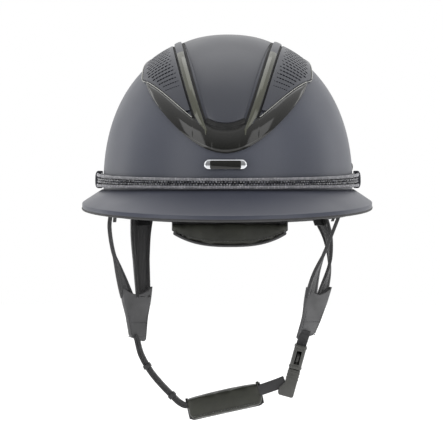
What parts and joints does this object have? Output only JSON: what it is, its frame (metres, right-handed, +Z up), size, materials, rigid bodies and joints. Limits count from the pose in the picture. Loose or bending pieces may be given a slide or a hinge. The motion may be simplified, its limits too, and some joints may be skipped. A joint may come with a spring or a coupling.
{
  "type": "equestrian riding helmet",
  "caption": "Wide-brimmed riding helmet with a gloss crown frame, beaded hat band, padded liner, four-point harness, chin pad and side-release buckle.",
  "frame": {"origin": "centre of the head opening, level with the seam between brim and hat band at the front", "axes": "+Z up towards the crown, -Y the front where the brim is, +X the side of the buckle (the right as seen from the front)"},
  "size_m": [0.24, 0.3062, 0.3161],
  "materials": {
    "navy_shell": "matte",
    "navy_panel": "satin",
    "gloss_trim": "gloss",
    "chrome_plate": "polished",
    "trim_leather": "satin",
    "crystal_beads": "gloss",
    "strap_webbing": "matte",
    "yoke_leather": "satin",
    "pad_leather": "satin",
    "comfort_fabric": "matte",
    "liner_foam": "matte",
    "edging_rubber": "matte",
    "moulded_plastic": "satin"
  },
  "bodies": {
    "root": {"outer_shell": "navy_shell", "brim": "navy_shell", "crown_panel": "navy_panel", "rail_left": "navy_panel", "rail_right": "navy_panel", "vent_panel_left": "navy_panel", "vent_panel_right": "navy_panel", "gloss_frame": "gloss_trim", "rail_insert_left": "gloss_trim", "rail_insert_right": "gloss_trim", "vent_bezel_left": "gloss_trim", "vent_bezel_right": "gloss_trim", "nameplate_inlay": "gloss_trim", "nameplate": "chrome_plate", "brim_lining": "trim_leather", "band_backing": "trim_leather", "rear_band": "trim_leather", "band_roll_upper": "crystal_beads", "band_roll_lower": "crystal_beads", "band_bead_row": "crystal_beads", "front_strap_right": "strap_webbing", "rear_strap_right": "strap_webbing", "buckle_loop": "strap_webbing", "yoke_tab_right": "yoke_leather", "headband_pad": "comfort_fabric", "crown_pad": "comfort_fabric", "impact_liner": "liner_foam", "rim_edging": "edging_rubber", "brim_piping": "edging_rubber", "side_rivet_left": "edging_rubber", "side_rivet_right": "edging_rubber", "intake_grille": "moulded_plastic", "band_keeper_left": "moulded_plastic", "band_keeper_right": "moulded_plastic", "front_anchor_left": "moulded_plastic", "rear_anchor_left": "moulded_plastic", "front_anchor_right": "moulded_plastic", "rear_anchor_right": "moulded_plastic", "buckle_socket": "moulded_plastic"},
    "left_yoke": {"front_strap_left": "strap_webbing", "rear_strap_left": "strap_webbing", "yoke_tab_left": "yoke_leather"},
    "chin_strap": {"chin_webbing": "strap_webbing", "webbing_keeper_upper": "edging_rubber", "webbing_keeper_lower": "edging_rubber", "buckle_plug": "moulded_plastic"},
    "chin_cushion": {"chin_pad": "pad_leather"},
    "release_front": {"release_arm_front": "moulded_plastic"},
    "release_back": {"release_arm_back": "moulded_plastic"},
    "nape": {"nape_cradle": "moulded_plastic", "nape_pad": "pad_leather"}
  },
  "joints": [
    {"name": "left_yoke_swing", "type": "hinge", "parent": "root", "child": "left_yoke", "pos_m": [-0.095, -0.008, -0.017], "axis": [0, 1, 0], "range_deg": [0, 17.6]},
    {"name": "chin_strap_swing", "type": "hinge", "parent": "left_yoke", "child": "chin_strap", "pos_m": [-0.0742, -0.008, -0.1215], "axis": [0, 1, 0], "range_deg": [0, 80]},
    {"name": "chin_pad_slide", "type": "slide", "parent": "chin_strap", "child": "chin_cushion", "axis": [0.9763, 0, 0.2164], "range_m": [0, 0.008]},
    {"name": "release_front_squeeze", "type": "hinge", "parent": "chin_strap", "child": "release_front", "pos_m": [0.0548, -0.0159, -0.1449], "axis": [-0.9636, 0, 0.2672], "range_deg": [0, 8], "stiffness_Nm_per_rad": 0.2},
    {"name": "release_back_squeeze", "type": "hinge", "parent": "chin_strap", "child": "release_back", "pos_m": [0.0548, -0.0001, -0.1449], "axis": [0.9636, 0, -0.2672], "range_deg": [0, 8], "stiffness_Nm_per_rad": 0.2},
    {"name": "nape_tilt", "type": "hinge", "parent": "root", "child": "nape", "pos_m": [0, 0.1205, -0.0245], "axis": [1, 0, 0], "range_deg": [-6, 12]}
  ],
  "couplings": [
    {"joint": "left_yoke_swing", "follows": "chin_strap_swing", "ratio": 0.22}
  ]
}
